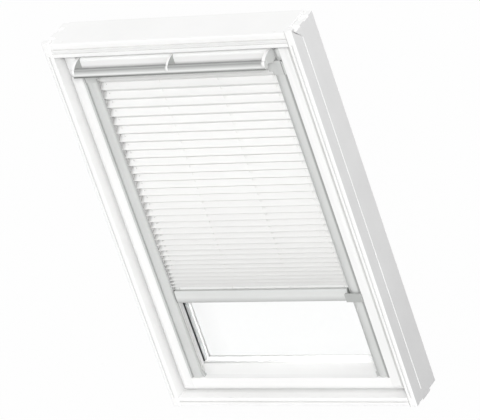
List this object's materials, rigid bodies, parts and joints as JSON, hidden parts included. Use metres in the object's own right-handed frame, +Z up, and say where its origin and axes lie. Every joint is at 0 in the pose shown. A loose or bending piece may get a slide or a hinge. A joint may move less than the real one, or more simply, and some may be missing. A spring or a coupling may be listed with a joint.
{
  "type": "roof window with pleated blind",
  "caption": "White centre-pivot roof window with a top control bar, double glazing and a fitted pleated blind that slides in aluminium side rails.",
  "frame": {"origin": "middle of the sill's underside, on its flat resting face at mid-depth of the outer frame", "axes": "+Z up the slope to the head, +Y outwards through the glass, +X to the right as seen from the room"},
  "size_m": [0.78, 0.1608, 1.18],
  "materials": {
    "white_frame": "white moulded polyurethane, smooth",
    "white_sash": "white moulded polyurethane, smooth",
    "white_plastic": "white plastic",
    "anodised_aluminium": "natural anodised, satin",
    "grey_plastic": "grey plastic, fine texture",
    "dark_rubber": "black rubber",
    "zinc_steel": "zinc-plated",
    "grey_cover": "grey lacquered sheet",
    "clear_glass": "clear",
    "pleated_cloth": "off-white pleated polyester",
    "cord_white": "braided cord",
    "filter_foam": "open-cell filter"
  },
  "bodies": {
    "frame": {"frame_head": "white_frame", "frame_sill": "white_frame", "frame_jamb_left": "white_frame", "frame_jamb_right": "white_frame", "frame_seal": "dark_rubber", "lock_striker": "zinc_steel", "head_screw_plug_left": "white_plastic", "head_screw_plug_right": "white_plastic", "hinge_plate_frame_left": "zinc_steel", "hinge_plate_frame_right": "zinc_steel", "head_hood": "grey_cover", "sill_cover": "grey_cover", "jamb_cover_left": "grey_cover", "jamb_cover_right": "grey_cover"},
    "sash": {"sash_stile_left": "white_sash", "sash_stile_right": "white_sash", "sash_top_rail": "white_sash", "sash_bottom_rail": "white_sash", "glass_inner_pane": "clear_glass", "glass_outer_pane": "clear_glass", "glass_spacer": "anodised_aluminium", "glazing_gasket": "dark_rubber", "hinge_plate_sash_left": "zinc_steel", "hinge_plate_sash_right": "zinc_steel", "lock_case": "zinc_steel", "vent_filter": "filter_foam", "flap_bracket_left": "zinc_steel", "flap_bracket_right": "zinc_steel", "sash_cover_left": "grey_cover", "sash_cover_right": "grey_cover", "sash_cover_top": "grey_cover", "sash_cover_bottom": "grey_cover", "blind_head_rail": "anodised_aluminium", "blind_rail_left": "anodised_aluminium", "blind_rail_right": "anodised_aluminium", "blind_corner_left": "grey_plastic", "blind_corner_right": "grey_plastic", "blind_foot_left": "grey_plastic", "blind_foot_right": "grey_plastic", "tension_cord_left": "cord_white", "tension_cord_right": "cord_white", "pleated_cloth": "pleated_cloth"},
    "control": {"vent_flap": "white_sash", "control_bar": "anodised_aluminium", "control_bar_cap_left": "grey_plastic", "control_bar_cap_right": "grey_plastic", "control_bar_fin_left": "white_sash", "control_bar_fin_right": "white_sash", "control_bar_fin_middle": "white_sash"},
    "lock": {"lock_hook": "zinc_steel"},
    "blind": {"bottom_bar": "anodised_aluminium", "bottom_bar_cap_left": "grey_plastic", "bottom_bar_cap_right": "grey_plastic", "blind_glide_left": "white_plastic", "blind_glide_right": "white_plastic", "bar_latch_slider": "grey_plastic"}
  },
  "joints": [
    {"name": "sash_pivot", "type": "hinge", "parent": "frame", "child": "sash", "pos_m": [0, 0.013, 0.58145], "axis": [1, 0, 0], "range_deg": [0, 160]},
    {"name": "control_bar_turn", "type": "hinge", "parent": "sash", "child": "control", "pos_m": [0, -0.044, 1.113], "axis": [1, 0, 0], "range_deg": [0, 30]},
    {"name": "lock_turn", "type": "hinge", "parent": "sash", "child": "lock", "pos_m": [0, 0.018, 1.1116], "axis": [1, 0, 0], "range_deg": [-66, 0]},
    {"name": "blind_travel", "type": "slide", "parent": "sash", "child": "blind", "axis": [0, 0, 1], "range_m": [-0.228, 0.6], "deforming": ["pleated_cloth"]}
  ],
  "couplings": [
    {"joint": "lock_turn", "follows": "control_bar_turn", "ratio": -2.2}
  ]
}
